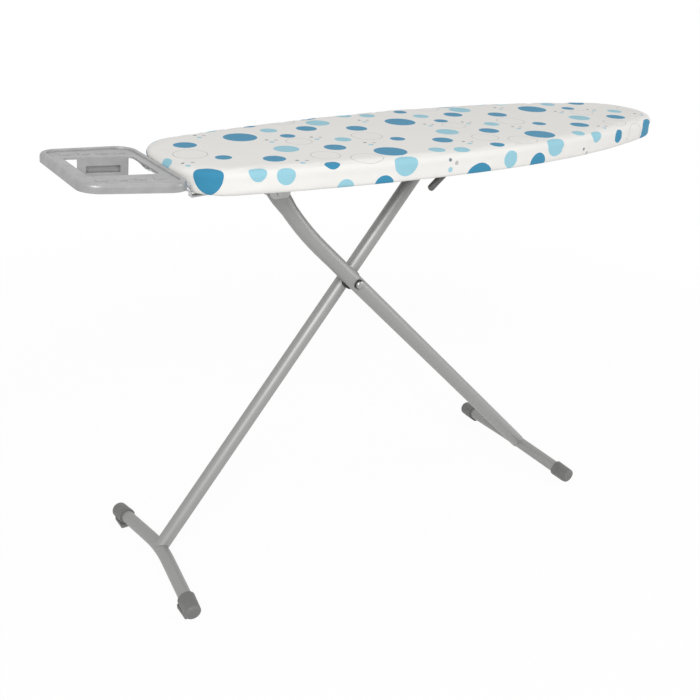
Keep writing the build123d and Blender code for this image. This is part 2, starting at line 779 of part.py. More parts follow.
def make_lever_rod():
    """Steel rod: a shaft across the board, bent down at the near edge into the grip."""
    across = Vector(0, 1, 0)
    start = Vector(shaft_x, crank_y + crank_sheet, shaft_z)
    turn_start = lever_root + across * lever_bend_radius
    turn_end = lever_root + lever_down * lever_bend_radius
    centre = turn_start + lever_down * lever_bend_radius
    turn_middle = centre - (lever_down + across).normalized() * lever_bend_radius
    path = Wire([
        Line(start, turn_start),
        ThreePointArc(turn_start, turn_middle, turn_end),
        Line(turn_end, lever_root + lever_down * lever_rod_reach),
    ])
    return tube_along(path, start, turn_start - start, shaft_radius)


def make_lever_grip():
    frame = along(tuple(lever_root), lever_down)
    section = RectangleRounded(grip_width, grip_thickness, grip_corner_radius)
    body = extrude(section, amount=grip_reach - grip_start)
    body = fillet(body.faces().sort_by(Axis.Z)[-1].edges(), grip_tip_radius)
    bore = Cylinder(shaft_radius + layer_fit, lever_rod_reach - grip_start + layer_fit,
                    align=(Align.CENTER, Align.CENTER, Align.MIN))
    return frame * (Pos(0, 0, grip_start) * (body - bore))


def make_lever_crank():
    """Arm at the shaft's far end, with a peg under the rack's tail."""
    arm = make_hull((Pos(shaft_x, shaft_z) * Circle(crank_hub_radius)).edges()
                    + (Pos(peg_x, peg_z) * Circle(peg_radius + 1.5)).edges())
    arm -= Pos(shaft_x, shaft_z) * Circle(shaft_radius + running_clearance)
    crank = plate_xz(arm, crank_y, crank_y + crank_sheet)
    return crank + rod_along_y(peg_x, peg_z, rack_y, crank_y, peg_radius)


def make_lever_bearing():
    """Saddle that carries the shaft near the grip."""
    y = lever_y + bearing_from_grip
    y0 = y - bearing_width / 2
    y1 = y + bearing_width / 2
    wall = shaft_radius + bearing_wall
    ear = wall + bearing_ear
    body = rod_along_y(shaft_x, shaft_z, y0, y1, wall)
    body += block(shaft_x - wall, shaft_x + wall, y0, y1, shaft_z, plate_under)
    body += block(shaft_x - ear, shaft_x + ear, y0, y1, plate_under - bearing_sheet, plate_under)
    body -= rod_along_y(shaft_x, shaft_z, y0 - 1, y1 + 1, shaft_radius + running_clearance)
    return body - rivet_holes(bearing_rivet_places(), shaft_z, plate_top)


# Iron rest, drawn flat with its board edge at X 0 and its rim at Z 0, then tilted and set at the board's end
rest_frame = Pos(board_end_x - rest_gap, 0, deck_height - rest_drop) * Rot(0, rest_tilt, 0)
opening_x1 = -rest_opening_from_inner
opening_x0 = opening_x1 - rest_opening_length
opening_x = (opening_x0 + opening_x1) / 2


def rest_face(inset):
    """Plan of the rest: a rounded trapezoid, moved inwards."""
    slope = (rest_inner_width - rest_outer_width) / 2 / rest_depth
    side = inset * sqrt(1 + slope**2)
    inner = rest_inner_width / 2 - side - inset * slope
    outer = rest_outer_width / 2 - side + inset * slope
    corners = [(-inset, inner), (inset - rest_depth, outer), (inset - rest_depth, -outer), (-inset, -inner)]
    face = make_face(Polyline(*corners, close=True))
    return fillet(face.vertices(), rest_corner_radius - inset)


def opening_face(grow):
    return Pos(opening_x, 0) * RectangleRounded(
        rest_opening_length + 2 * grow, rest_opening_width + 2 * grow, rest_opening_radius + grow
    )


def layer(face, z0, z1):
    return extrude(Pos(0, 0, z0) * face, amount=z1 - z0)


def bump_places():
    """Places of the moulded bumps on the two ledges."""
    y = rest_opening_width / 2 + bump_from_opening
    first = opening_x - bump_pitch * (bump_count - 1) / 2
    return [(first + bump_pitch * i, side * y) for i in range(bump_count) for side in (-1, 1)]


def make_rest_tray():
    """Plastic tray: rolled rim, sunken ledge, open middle and a hanging plate with a pocket."""
    ledge = -rest_rim_step
    body = layer(rest_face(0), -rest_height, 0)
    body = fillet(body.faces().sort_by(Axis.Z)[-1].edges(), rest_edge_radius)
    body -= layer(rest_face(rest_rim_width), ledge, 1)
    body = fillet(body.faces().sort_by(Axis.Z)[-1].inner_wires()[0].edges(), rest_rim_inner_radius)
    body -= layer(rest_face(rest_wall), -rest_height - 1, ledge - rest_wall)
    body -= layer(opening_face(0), -rest_height, 1)
    for x, y in bump_places():
        bump = layer(Pos(x, y) * SlotOverall(bump_length, bump_width), ledge, ledge + bump_height)
        body += fillet(bump.faces().sort_by(Axis.Z)[-1].edges(), bump_height * 0.8)
    face_y = rest_opening_width / 2
    plate_x = opening_x + rest_plate_shift
    half = rest_plate_length / 2
    body += block(
        plate_x - half, plate_x + half, face_y, face_y + rest_wall, ledge - rest_plate_depth, ledge
    )
    half = pocket_length / 2
    top = -pocket_below_rim
    bottom = top - pocket_height
    back = face_y + pocket_depth
    body += block(
        plate_x - half - rest_wall, plate_x + half + rest_wall, face_y, back + rest_wall,
        bottom - rest_wall, top + rest_wall,
    )
    body -= block(plate_x - half, plate_x + half, face_y - 1, back, bottom, top)
    return rest_frame * body - rest_wires(wire_radius + layer_fit)


# Support wires: two hairpins whose legs run under the tray's ledges, out at its inner corners,
# down the gap beside the board's round corner and under the hem to a clamp on the rear brace
wire_seat = -rest_rim_step - rest_wall - saddle_block_floor - wire_radius
wire_under = hem_z - wire_below_hem - wire_radius


def rest_wires(radius):
    """Both hairpins, with a given wire radius."""
    tray_edge = board_end_x - rest_gap
    turn_x = rear_brace_x + wire_past_brace
    hairpins = []
    for side in (-1, 1):
        upper_y = side * wire_y
        lower_y = side * (wire_y + wire_pitch)
        foot_y = side * (wire_y - wire_slant)
        turn_y = side * (wire_y - wire_splay)
        tray_end = rest_frame * Pos(-wire_in_tray, 0, wire_seat)
        wall_hole = rest_frame * Pos(wire_gap_upper, 0, wire_seat)
        skirt = rest_frame * Pos(0, 0, -rest_height - wire_radius - layer_fit)
        inside = rest_frame * Pos(-2 * rest_wall - 2 * wire_radius, 0, wire_seat)
        points = [
            (tray_end.position.X, upper_y, tray_end.position.Z),
            (wall_hole.position.X, upper_y, wall_hole.position.Z),
            (tray_edge + wire_gap_foot, foot_y, wire_under),
            (turn_x, turn_y, wire_under),
            (turn_x, turn_y + side * wire_pitch, wire_under),
            (tray_edge + wire_gap_lower, foot_y + side * wire_pitch, wire_under),
            (skirt.position.X, lower_y, skirt.position.Z),
            (inside.position.X, lower_y, inside.position.Z),
            (tray_end.position.X, lower_y, tray_end.position.Z),
        ]
        path = FilletPolyline(*points, radius=wire_bend_radius)
        start = Vector(*points[0])
        hairpins.append(tube_along(path, start, Vector(*points[1]) - start, radius))
    return Compound(children=hairpins)


def clamp_screw_places():
    y = wire_y - wire_splay - wire_radius - clamp_wall - screw_head_radius
    reach = clamp_length / 2 - clamp_wall - screw_radius
    return [(rear_brace_x + way * reach, side * y) for side in (-1, 1) for way in (-1, 1)]


def make_clamps():
    """Blocks that hold the wires against the rear brace."""
    inner = wire_y - wire_splay - wire_radius - clamp_wall - 2 * screw_head_radius
    outer = wire_y + wire_pitch - wire_splay + 2 * wire_radius + clamp_wall
    bottom = wire_under - wire_radius - clamp_wall
    wires = rest_wires(wire_radius + layer_fit)
    screws = [
        rod_along_z(x, y, bottom - 1, brace_under + 1, screw_radius + running_clearance)
        for x, y in clamp_screw_places()
    ]
    clamps = []
    for side in (-1, 1):
        body = block(
            rear_brace_x - clamp_length / 2, rear_brace_x + clamp_length / 2,
            min(side * inner, side * outer), max(side * inner, side * outer), bottom, brace_under,
        )
        clamps.append(body - wires - screws)
    return Compound(children=clamps)


def make_clamp_screws():
    screws = []
    seat = wire_under - wire_radius - clamp_wall
    for x, y in clamp_screw_places():
        head = rod_along_z(x, y, seat - screw_head, seat, screw_head_radius)
        head = fillet(head.edges().sort_by(Axis.Z)[0], screw_head / 2)
        screws.append(head + rod_along_z(x, y, seat, brace_under + brace_sheet, screw_radius))
    return Compound(children=screws)


def make_saddles():
    """Clips under the ledges that carry the tray on its wires."""
    clips = []
    wires = rest_wires(wire_radius + layer_fit)
    top = -rest_rim_step - rest_wall
    bottom = wire_seat - wire_radius - saddle_block_floor
    inner = wire_y - wire_radius - saddle_block_floor
    outer = wire_y + wire_pitch + wire_radius + saddle_block_floor
    for side in (-1, 1):
        for share in (0.5, 0.85):
            x = -share * wire_in_tray
            body = block(
                x - saddle_block_length / 2, x + saddle_block_length / 2,
                min(side * inner, side * outer), max(side * inner, side * outer), bottom, top,
            )
            clips.append(rest_frame * body - wires)
    return Compound(children=clips)


os.makedirs("parts", exist_ok=True)
save("cover", make_cover())
save("pad", make_pad())
save("top_plate", make_plate())
brace_holes = rivet_holes(brace_rivet_places() + clamp_screw_places(), brace_under, plate_top)
save("rear_brace", make_brace(rear_brace_x) - brace_holes)
save("front_brace", make_brace(front_brace_x) - brace_holes)
save("slide_rail", make_rail())
save("hinge_bracket", make_bracket())
save("hinge_pin", make_hinge_pin())
save("hinge_washers", make_hinge_washers())
save("rail_rivets", rivets(rail_rivet_places(), plate_under - rail_sheet))
save("bracket_rivets", rivets(bracket_rivet_places(), plate_under - bracket_sheet))
save("brace_rivets", rivets(brace_rivet_places(), plate_under - brace_sheet))
save("lever_bearing", make_lever_bearing())
save("bearing_rivets", rivets(bearing_rivet_places(), plate_under - bearing_sheet))
save("rack_stud", make_rack_stud())
save("rack_spring", make_rack_spring())
save("spring_rivet", rivets(spring_rivet_places(), plate_under - spring_sheet))
save("rest_tray", make_rest_tray())
save("rest_wires", rest_wires(wire_radius))
save("rest_clamps", make_clamps())
save("rest_clamp_screws", make_clamp_screws())
save("rest_saddles", make_saddles())
save("leg_a_tube", make_leg_a())
save("leg_a_foot_bar", make_foot_bar(bar_a_frame, foot_a_reach))
save("leg_a_cap_near", make_cap(bar_a_frame, foot_a_x, 0, foot_a_reach, -1, -1))
save("leg_a_cap_far", make_cap(bar_a_frame, foot_a_x, 0, foot_a_reach, 1, -1))
save("leg_a_plug", make_plug())
save("slide_pin", make_slide_pin())
save("slide_bushes", make_slide_bushes())
save("pin_clip", make_pin_clip())
save("leg_b_tube", make_leg_b())
save("leg_b_foot_bar", make_foot_bar(bar_b_frame, foot_b_reach))
save("leg_b_cap_near", make_cap(bar_b_frame, foot_b_x, foot_b_shift, foot_b_reach, -1, 1))
save("leg_b_cap_far", make_cap(bar_b_frame, foot_b_x, foot_b_shift, foot_b_reach, 1, 1))
save("pivot_bolt", make_pivot_bolt())
save("pivot_saddle", saddle(bolt_seat, bolt_seat + saddle_depth, saddle_radius))
save("pivot_spacer", saddle(spacer_seat - spacer_depth, spacer_seat, spacer_radius))
save("pivot_washer", make_pivot_washer())
save("pivot_nut", make_pivot_nut())
save("height_rack", make_rack())
save("lever_rod", make_lever_rod())
save("lever_grip", make_lever_grip())
save("lever_crank", make_lever_crank())
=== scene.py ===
import json
import math
import random

import bmesh
import bpy
from mathutils import Matrix, Vector


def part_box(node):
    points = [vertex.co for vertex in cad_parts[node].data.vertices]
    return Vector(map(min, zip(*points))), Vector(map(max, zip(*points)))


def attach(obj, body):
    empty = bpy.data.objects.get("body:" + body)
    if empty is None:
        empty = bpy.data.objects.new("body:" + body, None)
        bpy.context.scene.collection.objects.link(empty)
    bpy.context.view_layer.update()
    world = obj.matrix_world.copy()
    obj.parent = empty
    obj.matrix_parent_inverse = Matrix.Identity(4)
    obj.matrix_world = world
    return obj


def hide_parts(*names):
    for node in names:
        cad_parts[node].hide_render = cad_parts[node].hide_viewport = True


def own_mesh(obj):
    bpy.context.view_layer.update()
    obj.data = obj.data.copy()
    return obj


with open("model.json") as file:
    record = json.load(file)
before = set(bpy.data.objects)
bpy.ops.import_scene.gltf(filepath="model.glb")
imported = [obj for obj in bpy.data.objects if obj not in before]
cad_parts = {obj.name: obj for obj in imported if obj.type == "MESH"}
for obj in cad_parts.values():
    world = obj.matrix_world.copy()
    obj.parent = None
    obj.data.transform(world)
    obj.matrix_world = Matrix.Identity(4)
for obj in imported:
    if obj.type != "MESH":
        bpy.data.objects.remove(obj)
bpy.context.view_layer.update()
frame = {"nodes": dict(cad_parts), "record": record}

scene = bpy.context.scene
scene.view_settings.view_transform = "Standard"
nodes = frame["nodes"]
TAU = 2 * math.pi

# The board's plan, as in the part's source, in metres
cover_low, cover_high = (Vector(corner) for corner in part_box("cover"))
END_X, NOSE_X = cover_low.x, cover_high.x
HEM_Z, DECK_Z = cover_low.z, cover_high.z
HALF_WIDTH = cover_high.y
WIDEST_FROM_END = 0.561
REAR_SIDE_RADIUS = 2.587
NOSE_RADIUS = 0.100
END_CORNER_RADIUS = 0.080
EDGE_RADIUS = 0.0115
HEM_RADIUS = 0.006
HEM_WIDTH = 0.026
OUTLINE_STEP = 0.006

# The cloth cover: its thickness, its lip inside the hem, and its gathers
CLOTH_THICKNESS = 0.0011
LIP_HEIGHT = 0.0035
SIDE_SLOPE = 0.0003
GATHER_SEED = 5
GATHER_COUNT = 90
GATHER_WIDTHS = (1.2, 2.6)
GATHER_STRENGTHS = (0.4, 1.0)
GATHER_DEPTH = 0.0006
RIM_GATHER_DEPTH = 0.0001
DEEPEST_GATHER = -1.3
SLOW_WAVE = 0.35
TOP_RINGS = 12
# How far the cloth is drawn in at the end's corners, by height over the hem
CORNER_DRAWS = (
    (0.0, 0.0050), (0.0005, 0.0036), (0.0018, 0.0024), (0.0037, 0.0020),
    (0.0060, 0.0015), (0.0114, 0.0005), (0.0170, 0.0),
)
HEM_DRAW = CORNER_DRAWS[0][1]
CORNER_PEAK = 6.75
# The cloth's settling: the most that a point moves, the most that it moves in, the steps that
# are run and kept room for, and the height of the held hem
SETTLE_OUT = 0.0022
SETTLE_IN = 0.0003
SETTLE_STEPS = 16
SETTLE_ROOM = 20
HELD_HEIGHT = 0.0045

# The felt pad, as insets from the cover's outline and gaps to its neighbours
PAD_OUTER_INSET = 0.0022
PAD_INNER_INSET = 0.0062
PAD_EDGE_RADIUS = 0.0105
PAD_FOOT_RADIUS = 0.0038
PAD_BEND_RADIUS = 0.006
PAD_UNDER_DECK = 0.0022
PAD_OVER_PLATE = 0.0004
PAD_LEAST_WALL = 0.0002
PAD_TOP_RINGS = 6

# The camera as fitted to the photograph: degrees, pixels and metres
CAMERA_TURNS = (34.12, 25.34, -2.74)
CAMERA_PLACE = (END_X - 0.573, -1.4042, 1.1606)
FOCAL_PIXELS = 947
FRAME_PIXELS = 700
SENSOR_WIDTH = 36.0

# Studio: lamps as name, place, aim, size and power, the surround's light and the floor
WHITE = (1, 1, 1, 1)
LAMPS = (
    ("key", (-1.9, -2.6, 2.3), (0, 0, 0.6), (1.6, 1.6), 85),
    ("overhead", (0.2, 0.3, 3.0), (0, 0, 0.6), (2.4, 1.6), 9),
    ("fill", (2.6, -1.6, 1.4), (0, 0, 0.5), (1.2, 1.8), 24),
)
SURROUND_LIGHT = 0.42
FLOOR_SIZE = 7
FLOOR_DROP = 0.0005
FLOOR_COLOUR = (0.92, 0.92, 0.92, 1)
FLOOR_GLOW = 0.95
FLOOR_FADE = (0.9, 2.2)


# Camera and light

def set_camera():
    """Camera fitted to the photograph: place, heading, dip, roll and focal length."""
    yaw, pitch, roll = (math.radians(turn) for turn in CAMERA_TURNS)
    level_ahead = Vector((math.sin(yaw), math.cos(yaw), 0))
    ahead = math.cos(pitch) * level_ahead - math.sin(pitch) * Vector((0, 0, 1))
    level = Vector((math.cos(yaw), -math.sin(yaw), 0))
    down = ahead.cross(level)
    right = math.cos(roll) * level + math.sin(roll) * down
    under = math.cos(roll) * down - math.sin(roll) * level
    data = bpy.data.cameras.new("camera")
    data.sensor_width = SENSOR_WIDTH
    data.lens = FOCAL_PIXELS / FRAME_PIXELS * SENSOR_WIDTH
    camera = bpy.data.objects.new("camera", data)
    scene.collection.objects.link(camera)
    turn = Matrix((right, -under, -ahead)).transposed().to_4x4()
    camera.matrix_world = Matrix.Translation(CAMERA_PLACE) @ turn
    scene.camera = camera


def seen_directly(tree):
    """1 for what the camera, metal and glass show of the surround, 0 for its light."""
    path = tree.nodes.new("ShaderNodeLightPath")
    seen = path.outputs["Is Camera Ray"]
    for kind in ("Is Glossy Ray", "Is Transmission Ray"):
        either = tree.nodes.new("ShaderNodeMath")
        either.operation = "MAXIMUM"
        tree.links.new(seen, either.inputs[0])
        tree.links.new(path.outputs[kind], either.inputs[1])
        seen = either.outputs[0]
    return seen


def set_world():
    """Soft white surround: white to the camera and in reflections, dimmer as light."""
    world = bpy.data.worlds.new("studio")
    scene.world = world
    world.use_nodes = True
    tree = world.node_tree
    tree.nodes.clear()
    out = tree.nodes.new("ShaderNodeOutputWorld")
    lit = tree.nodes.new("ShaderNodeBackground")
    lit.inputs["Color"].default_value = WHITE
    lit.inputs["Strength"].default_value = SURROUND_LIGHT
    seen = tree.nodes.new("ShaderNodeBackground")
    seen.inputs["Color"].default_value = WHITE
    seen.inputs["Strength"].default_value = 1.0
    mix = tree.nodes.new("ShaderNodeMixShader")
    tree.links.new(seen_directly(tree), mix.inputs["Fac"])
    tree.links.new(lit.outputs[0], mix.inputs[1])
    tree.links.new(seen.outputs[0], mix.inputs[2])
    tree.links.new(mix.outputs[0], out.inputs["Surface"])


def area_light(name, place, aim, size, power):
    """A rectangular lamp that faces its aim."""
    data = bpy.data.lights.new(name, "AREA")
    data.shape = "RECTANGLE"
    data.size, data.size_y = size
    data.energy = power
    lamp = bpy.data.objects.new(name, data)
    lamp.location = place
    lamp.rotation_euler = (Vector(aim) - Vector(place)).to_track_quat("-Z", "Y").to_euler()
    scene.collection.objects.link(lamp)


def set_floor():
    """Pale floor that keeps a soft shadow and fades into the white surround."""
    bpy.ops.mesh.primitive_plane_add(size=FLOOR_SIZE, location=(0, 0, -FLOOR_DROP))
    floor = bpy.context.object
    floor.name = "floor"
    material = bpy.data.materials.new("floor")
    material.use_nodes = True
    tree = material.node_tree
    tree.nodes.clear()
    out = tree.nodes.new("ShaderNodeOutputMaterial")
    diffuse = tree.nodes.new("ShaderNodeBsdfDiffuse")
    diffuse.inputs["Color"].default_value = FLOOR_COLOUR
    glow = tree.nodes.new("ShaderNodeEmission")
    glow.inputs["Color"].default_value = WHITE
    glow.inputs["Strength"].default_value = 1.0
    clear = tree.nodes.new("ShaderNodeBsdfTransparent")
    share = tree.nodes.new("ShaderNodeMath")
    share.operation = "MULTIPLY"
    share.inputs[1].default_value = FLOOR_GLOW
    tree.links.new(seen_directly(tree), share.inputs[0])
    body = tree.nodes.new("ShaderNodeMixShader")
    tree.links.new(share.outputs[0], body.inputs["Fac"])
    tree.links.new(diffuse.outputs[0], body.inputs[1])
    tree.links.new(glow.outputs[0], body.inputs[2])
    coordinates = tree.nodes.new("ShaderNodeTexCoord")
    length = tree.nodes.new("ShaderNodeVectorMath")
    length.operation = "LENGTH"
    tree.links.new(coordinates.outputs["Object"], length.inputs[0])
    fade = tree.nodes.new("ShaderNodeMapRange")
    fade.interpolation_type = "SMOOTHSTEP"
    fade.inputs["From Min"].default_value = FLOOR_FADE[0]
    fade.inputs["From Max"].default_value = FLOOR_FADE[1]
    tree.links.new(length.outputs["Value"], fade.inputs["Value"])
    edge = tree.nodes.new("ShaderNodeMixShader")
    tree.links.new(fade.outputs[0], edge.inputs["Fac"])
    tree.links.new(body.outputs[0], edge.inputs[1])
    tree.links.new(clear.outputs[0], edge.inputs[2])
    tree.links.new(edge.outputs[0], out.inputs["Surface"])
    floor.data.materials.append(material)


set_camera()
set_world()
set_floor()
for lamp in LAMPS:
    area_light(*lamp)


# Material building blocks

class Shader:
    """A Principled material and short calls that add the nodes it needs."""

    def __init__(self, name, **sockets):
        self.material = bpy.data.materials.new(name)
        self.material.use_nodes = True
        self.tree = self.material.node_tree
        self.bsdf = self.tree.nodes["Principled BSDF"]
        for socket, value in sockets.items():
            self.bsdf.inputs[socket.replace("_", " ")].default_value = value

    def node(self, kind, **settings):
        made = self.tree.nodes.new("ShaderNode" + kind)
        for key, value in settings.items():
            setattr(made, key, value)
        return made

    def feed(self, socket, value):
        if isinstance(value, (int, float, tuple)):
            socket.default_value = value
        else:
            self.tree.links.new(value, socket)

    def math(self, operation, a, b=0.0, c=0.0):
        made = self.node("Math", operation=operation)
        for socket, value in zip(made.inputs, (a, b, c)):
            self.feed(socket, value)
        return made.outputs[0]

    def coordinates(self, kind="Object"):
        return self.node("TexCoord").outputs[kind]

    def noise(self, vector, scale, detail=2.0, roughness=0.5):
        made = self.node("TexNoise")
        self.feed(made.inputs["Vector"], vector)
        made.inputs["Scale"].default_value = scale
        made.inputs["Detail"].default_value = detail
        made.inputs["Roughness"].default_value = roughness
        return made.outputs["Fac"]

    def spread(self, value, low, high, to_low, to_high):
        made = self.node("MapRange")
        for socket, item in zip(made.inputs, (value, low, high, to_low, to_high)):
            self.feed(socket, item)
        return made.outputs[0]

    def mix(self, factor, a, b):
        made = self.node("Mix", data_type="RGBA")
        self.feed(made.inputs["Factor"], factor)
        self.feed(made.inputs[6], a)
        self.feed(made.inputs[7], b)
        return made.outputs[2]

    def colour(self, value):
        self.feed(self.bsdf.inputs["Base Color"], value)

    def roughness(self, value):
        self.feed(self.bsdf.inputs["Roughness"], value)

    def bump(self, height, strength, distance):
        made = self.node("Bump")
        made.inputs["Strength"].default_value = strength
        made.inputs["Distance"].default_value = distance
        self.feed(made.inputs["Height"], height)
        self.tree.links.new(made.outputs[0], self.bsdf.inputs["Normal"])


def linear(red, green, blue):
    """Linear colour from an 8-bit display colour."""
    made = []
    for value in (red / 255, green / 255, blue / 255):
        made.append(value / 12.92 if value <= 0.04045 else ((value + 0.055) / 1.055) ** 2.4)
    return (*made, 1.0)


def shade(colour, factor):
    """A colour made darker or paler."""
    return tuple(min(1.0, factor * c) for c in colour[:3]) + (1.0,)


def painted_metal(name, colour, roughness, metallic):
    """Sprayed metal: fine flake in the colour, an uneven gloss and a faint orange peel."""
    s = Shader(name, Metallic=metallic, Coat_Weight=0.08, Coat_Roughness=0.3)
    place = s.coordinates()
    flake = s.noise(place, 2600, 1.0)
    cloud = s.noise(place, 14, 3.0)
    flakes = s.spread(flake, 0.35, 0.65, 0.0, 1.0)
    s.colour(s.mix(flakes, shade(colour, 0.96), shade(colour, 1.03)))
    s.roughness(s.spread(cloud, 0.3, 0.7, roughness - 0.04, roughness + 0.05))
    s.bump(s.noise(place, 420, 2.0), 0.006, 0.0003)
    return s.material


def moulded_plastic(name, colour, roughness, grain, coat=0.0, metallic=0.0):
    """Moulded plastic with a fine spark-eroded grain and slight mottling."""
    s = Shader(name, Coat_Weight=coat, Coat_Roughness=0.2, Metallic=metallic)
    place = s.coordinates()
    cloud = s.noise(place, 45, 4.0)
    s.colour(s.mix(s.spread(cloud, 0.3, 0.7, 0.0, 1.0), shade(colour, 0.9), shade(colour, 1.08)))
    gloss = s.noise(place, 160, 2.0)
    s.roughness(s.spread(gloss, 0.3, 0.7, roughness - 0.05, roughness + 0.06))
    s.bump(s.noise(place, 1900, 2.0), grain, 0.0003)
    return s.material


def plated_steel(name, colour, roughness):
    """Zinc or bright drawn steel with fine drawing marks."""
    s = Shader(name, Metallic=1.0)
    place = s.coordinates()
    stretch = s.node("Mapping")
    s.feed(stretch.inputs["Vector"], place)
    stretch.inputs["Scale"].default_value = (30, 900, 900)
    marks = s.noise(stretch.outputs[0], 1.0, 2.0)
    cloud = s.noise(place, 60, 3.0)
    s.colour(s.mix(s.spread(cloud, 0.3, 0.7, 0.0, 1.0), shade(colour, 0.86), colour))
    s.roughness(s.spread(marks, 0.3, 0.7, roughness - 0.05, roughness + 0.07))
    return s.material


def felt(name, colour):
    """Needled felt: matted fibres, dull and slightly fuzzy."""
    s = Shader(name, Roughness=0.95, Sheen_Weight=0.3, Sheen_Roughness=0.6)
    place = s.coordinates()
    fibre = s.noise(place, 520, 6.0, 0.7)
    s.colour(s.mix(fibre, shade(colour, 0.7), colour))
    s.bump(fibre, 0.6, 0.0008)
    return s.material


# The cover's print: a repeat of plain dots, rings and groups of small spots,
# as places along and across the cloth and radii, in metres

REPEAT = (0.341, 0.297)
BLUE_DOTS = (
    (0.050, 0.066, 0.030), (0.132, 0.044, 0.014), (0.193, 0.083, 0.0195), (0.281, 0.050, 0.020),
    (0.105, 0.143, 0.014), (0.237, 0.176, 0.029), (0.033, 0.209, 0.019), (0.165, 0.237, 0.0195),
    (0.303, 0.248, 0.014),
)
PALE_DOTS = (
    (0.121, 0.094, 0.016), (0.237, 0.116, 0.023), (0.083, 0.259, 0.022),
    (0.319, 0.154, 0.0155), (0.209, 0.281, 0.0155), (0.022, 0.138, 0.016),
)
RINGS = (
    (0.176, 0.154, 0.028), (0.264, 0.288, 0.028), (0.121, 0.196, 0.025), (0.130, 0.001, 0.023),
)
SPOT_GROUPS = ((0.088, 0.022), (0.066, 0.176), (0.237, 0.237), (0.330, 0.099), (0.171, 0.011))
# Each group's three spots: places from the group's own, and radii
DARK_SPOT = (-0.005, 0.009, 0.0035)
GREY_SPOT = (0.009, 0.002, 0.0038)
PALE_SPOT = (-0.004, -0.008, 0.0052)
RING_HALF_LINE = 0.00065
PRINT_WAVER = 0.0006
THREAD_WAVE = 0.0012
CLOTH = linear(231, 229, 225)
BLUE = linear(52, 136, 172)
PALE_BLUE = linear(146, 197, 212)
RING_GREY = linear(172, 172, 173)
SPOT_GREY = linear(92, 110, 122)


def dotted_cloth():
    """Smooth woven cotton with a common dot print, placed by the cloth's UV map in metres."""
    s = Shader(
        "cover_cloth", Roughness=0.82, Sheen_Weight=0.1, Sheen_Roughness=0.5,
        Specular_IOR_Level=0.25,
    )
    cloth_place = s.coordinates("UV")
    waver = s.node("TexNoise")
    s.feed(waver.inputs["Vector"], cloth_place)
    waver.inputs["Scale"].default_value = 900

    def away(u, v):
        """Distance from a place in the repeat."""
        gap = s.node("VectorMath", operation="SUBTRACT")
        s.feed(gap.inputs[0], cloth_place)
        gap.inputs[1].default_value = (u, v, 0)
        wrap = s.node("VectorMath", operation="WRAP")
        s.feed(wrap.inputs[0], gap.outputs[0])
        wrap.inputs[1].default_value = (REPEAT[0] / 2, REPEAT[1] / 2, 1)
        wrap.inputs[2].default_value = (-REPEAT[0] / 2, -REPEAT[1] / 2, -1)
        length = s.node("VectorMath", operation="LENGTH")
        s.feed(length.inputs[0], wrap.outputs[0])
        return s.math("MULTIPLY_ADD", waver.outputs["Fac"], PRINT_WAVER, length.outputs["Value"])

    def any_of(masks):
        whole = masks[0]
        for mask in masks[1:]:
            whole = s.math("MAXIMUM", whole, mask)
        return whole

    def dots(places):
        return any_of([s.math("LESS_THAN", away(u, v), radius) for u, v, radius in places])

    def spots(spot):
        return dots([(u + spot[0], v + spot[1], spot[2]) for u, v in SPOT_GROUPS])

    rings = []
    for u, v, radius in RINGS:
        off = s.math("ABSOLUTE", s.math("SUBTRACT", away(u, v), radius))
        rings.append(s.math("LESS_THAN", off, RING_HALF_LINE))

    tone = s.noise(s.coordinates(), 9, 3.0)
    cloth = s.mix(s.spread(tone, 0.3, 0.7, 0.0, 1.0), shade(CLOTH, 0.975), CLOTH)
    colour = s.mix(s.math("MULTIPLY", any_of(rings), 0.8), cloth, RING_GREY)
    colour = s.mix(s.math("MULTIPLY", spots(GREY_SPOT), 0.85), colour, RING_GREY)
    colour = s.mix(s.math("MULTIPLY", spots(PALE_SPOT), 0.9), colour, PALE_BLUE)
    colour = s.mix(s.math("MULTIPLY", spots(DARK_SPOT), 0.9), colour, SPOT_GREY)
    colour = s.mix(dots(PALE_DOTS), colour, PALE_BLUE)
    colour = s.mix(dots(BLUE_DOTS), colour, BLUE)

    # Plain weave: threads both ways, 0.6 mm apart
    split = s.node("SeparateXYZ")
    s.feed(split.inputs[0], cloth_place)
    turns = [s.math("MULTIPLY", split.outputs[k], TAU / THREAD_WAVE) for k in (0, 1)]
    threads = [s.math("SINE", turn) for turn in turns]
    weave = s.math("MULTIPLY", *threads)
    colour = s.mix(s.spread(weave, -1.0, 1.0, 0.0, 0.045), colour, (0.25, 0.25, 0.25, 1.0))
    s.colour(colour)
    ripple = s.noise(s.coordinates(), 26, 3.0)
    height = s.math("ADD", s.math("MULTIPLY", weave, 0.06), ripple)
    s.bump(height, 0.2, 0.0012)
    return s.material


# Board-shaped meshes: rings that follow the outline, closed over a spine along the middle

